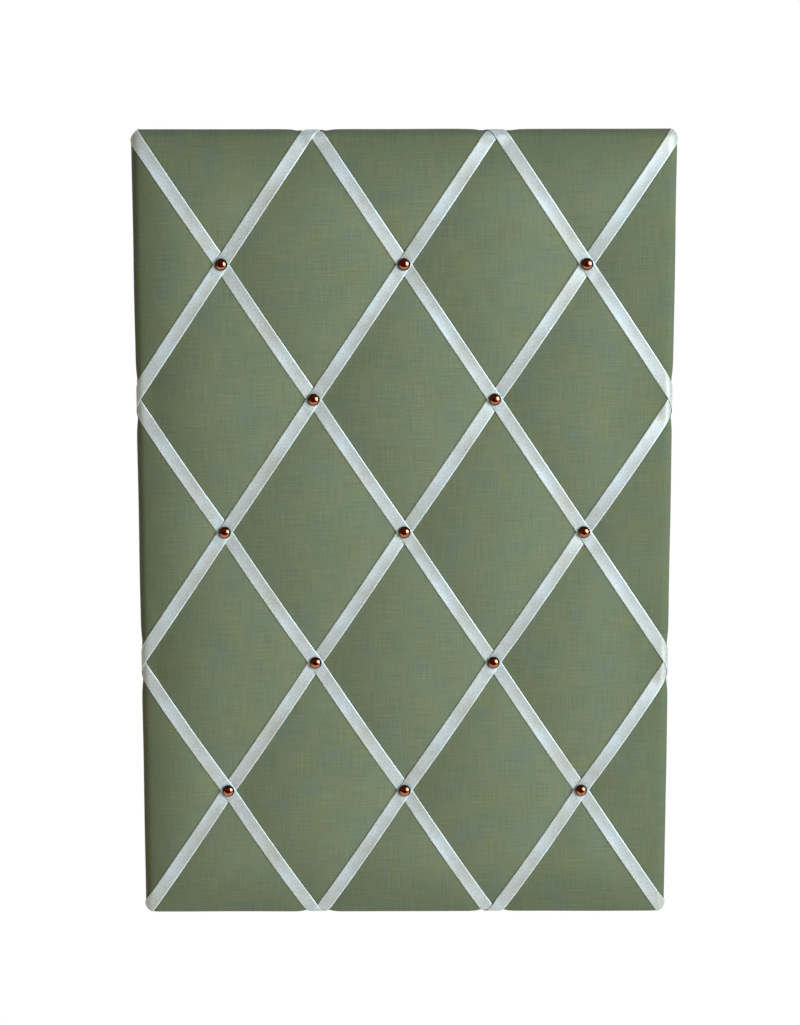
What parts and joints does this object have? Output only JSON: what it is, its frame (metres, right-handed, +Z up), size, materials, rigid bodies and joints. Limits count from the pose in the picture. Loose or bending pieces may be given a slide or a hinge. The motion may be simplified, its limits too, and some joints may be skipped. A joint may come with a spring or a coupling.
{
  "type": "french memo board",
  "caption": "Padded, linen-covered pin-up board with crossed satin ribbons held by domed nails at every crossing, and D-ring hangers on a felt-lined back.",
  "frame": {"origin": "middle of the felt lining on the back, the face turned to the wall", "axes": "+Z up the board, +Y out of its back towards the wall, +X to the viewer's right when the front is seen"},
  "size_m": [0.41, 0.0298, 0.61],
  "materials": {
    "fibreboard": "raw wood fibreboard, hidden under the wadding and the lining",
    "wadding": "white polyester wadding, hidden under the cover",
    "linen": "sage green plain-weave linen, matt",
    "satin": "pale silver satin ribbon with woven edges, soft sheen",
    "copper": "polished copper-toned nail heads",
    "steel": "plain galvanised staple wire",
    "felt": "dense grey felt, matt",
    "hanger_steel": "zinc-plated steel"
  },
  "bodies": {
    "board": {"backboard": "fibreboard", "wadding": "wadding", "cover_linen": "linen", "ribbon_rise_1": "satin", "ribbon_rise_2": "satin", "ribbon_rise_3": "satin", "ribbon_rise_4": "satin", "ribbon_rise_5": "satin", "ribbon_fall_1": "satin", "ribbon_fall_2": "satin", "ribbon_fall_3": "satin", "ribbon_fall_4": "satin", "ribbon_fall_5": "satin", "nail_1": "copper", "nail_2": "copper", "nail_3": "copper", "nail_4": "copper", "nail_5": "copper", "nail_6": "copper", "nail_7": "copper", "nail_8": "copper", "nail_9": "copper", "nail_10": "copper", "nail_11": "copper", "nail_12": "copper", "nail_13": "copper", "staple_rise_1_left": "steel", "staple_rise_1_right": "steel", "staple_rise_2_left": "steel", "staple_rise_2_right": "steel", "staple_rise_3_left": "steel", "staple_rise_3_right": "steel", "staple_rise_4_left": "steel", "staple_rise_4_right": "steel", "staple_rise_5_left": "steel", "staple_rise_5_right": "steel", "staple_fall_1_left": "steel", "staple_fall_1_right": "steel", "staple_fall_2_left": "steel", "staple_fall_2_right": "steel", "staple_fall_3_left": "steel", "staple_fall_3_right": "steel", "staple_fall_4_left": "steel", "staple_fall_4_right": "steel", "staple_fall_5_left": "steel", "staple_fall_5_right": "steel", "back_lining": "felt", "hanger_strap_left": "hanger_steel", "hanger_screw_left": "hanger_steel", "hanger_strap_right": "hanger_steel", "hanger_screw_right": "hanger_steel"},
    "ring_left": {"hanger_ring_left": "hanger_steel"},
    "ring_right": {"hanger_ring_right": "hanger_steel"}
  },
  "joints": [
    {"name": "ring_left_swing", "type": "hinge", "parent": "board", "child": "ring_left", "pos_m": [-0.12, 0.0023, 0.19], "axis": [1, 0, 0], "range_deg": [0, 177]},
    {"name": "ring_right_swing", "type": "hinge", "parent": "board", "child": "ring_right", "pos_m": [0.12, 0.0023, 0.19], "axis": [1, 0, 0], "range_deg": [0, 177]}
  ]
}
